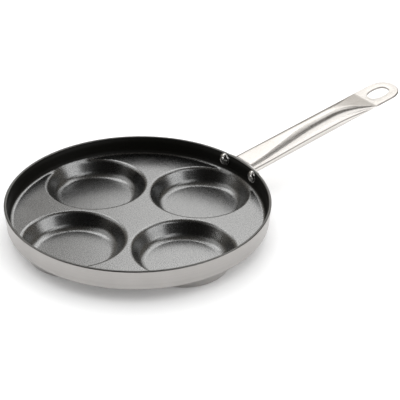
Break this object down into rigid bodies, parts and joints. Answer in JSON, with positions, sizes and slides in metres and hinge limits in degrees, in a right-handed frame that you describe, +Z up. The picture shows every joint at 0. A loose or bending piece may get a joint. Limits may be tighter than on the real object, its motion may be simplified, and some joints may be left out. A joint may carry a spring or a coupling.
{
  "type": "pancake pan",
  "caption": "Low round pan with dished cups pressed into its floor, a dark non-stick inside, and a riveted steel tube handle that ends in a flat tab with a hanging hole.",
  "frame": {"origin": "on the round body's axis, at the underside of the floor between the cups, 15 mm above the surface that the cups rest on", "axes": "+X from the body's axis along the handle, +Z up out of the pan, +Y to the left of the handle seen from above with the handle pointing away"},
  "size_m": [0.4684, 0.26, 0.0629],
  "materials": {
    "satin_aluminium": "satin, turned",
    "nonstick_black": "semi-gloss with fine speckle",
    "bracket_steel": "satin",
    "handle_steel": "polished satin",
    "rivet_steel": "polished"
  },
  "bodies": {
    "root": {"pan_body": "satin_aluminium", "nonstick_lining": "nonstick_black", "handle_bracket": "bracket_steel", "handle_tube": "handle_steel", "rivet_left": "rivet_steel", "rivet_right": "rivet_steel"}
  },
  "joints": []
}
